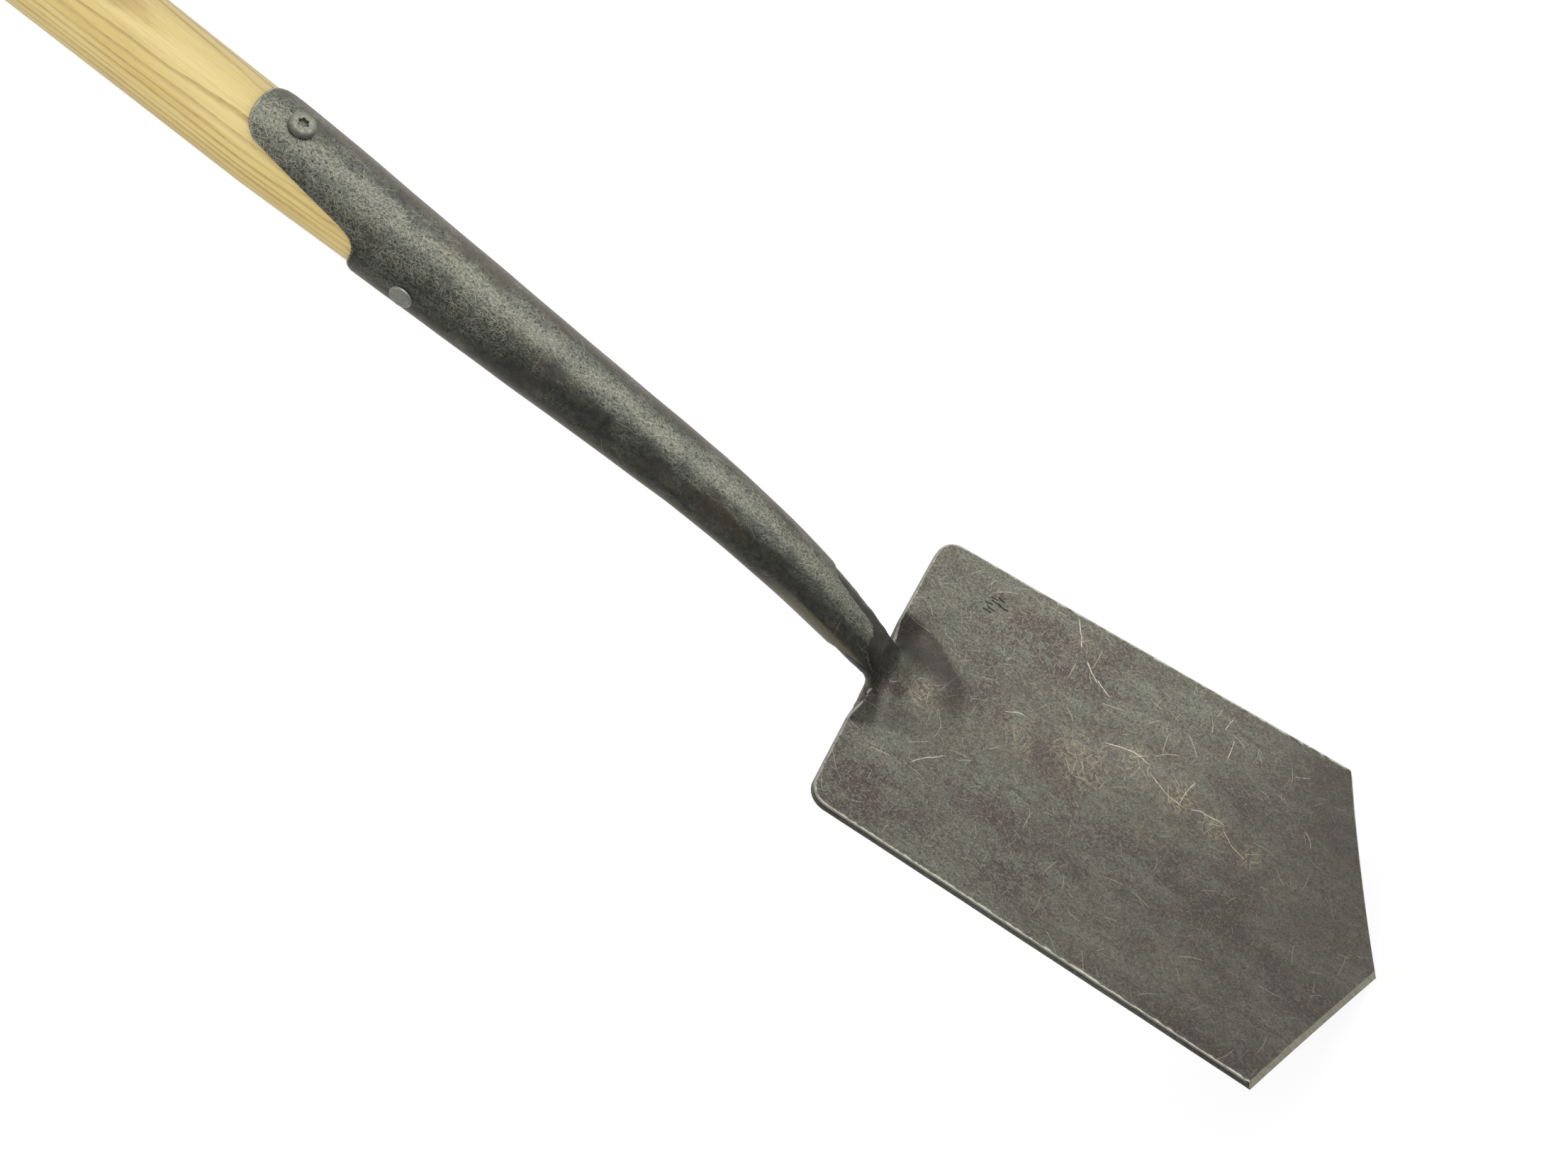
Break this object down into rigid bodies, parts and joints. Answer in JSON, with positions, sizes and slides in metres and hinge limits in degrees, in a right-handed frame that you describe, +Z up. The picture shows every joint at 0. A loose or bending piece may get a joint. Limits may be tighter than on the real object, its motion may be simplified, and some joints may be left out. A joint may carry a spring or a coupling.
{
  "type": "garden spade",
  "caption": "Garden spade with a pointed steel blade, a bent steel socket with a front strap, a straight ash shaft and a wooden T-grip.",
  "frame": {"origin": "middle of the underside of the bounding box, level with the blade's point", "axes": "+Z up along the shaft from the blade to the T-grip, -Y out of the hollow front face of the blade, X across the blade and along the T-grip"},
  "size_m": [0.156, 0.0584, 1.1021],
  "materials": {
    "blade_steel": "worn dark grey carbon steel with brown patina, fine scratches and bright edges",
    "socket_steel": "dark olive-grey forged carbon steel, finely scratched, slightly shiny",
    "rivet_steel": "plain steel, lightly worn",
    "zinc_steel": "matt zinc plated",
    "shaft_ash": "oiled ash, grain along the shaft, satin",
    "grip_ash": "pale oiled ash, grain along the grip, satin",
    "dowel_beech": "plain beech end grain"
  },
  "bodies": {
    "root": {"blade": "blade_steel", "neck_weld": "socket_steel", "socket": "socket_steel", "socket_rivet": "rivet_steel", "strap_screw": "zinc_steel", "shaft": "shaft_ash", "t_grip": "grip_ash", "grip_dowel": "dowel_beech"}
  },
  "joints": []
}
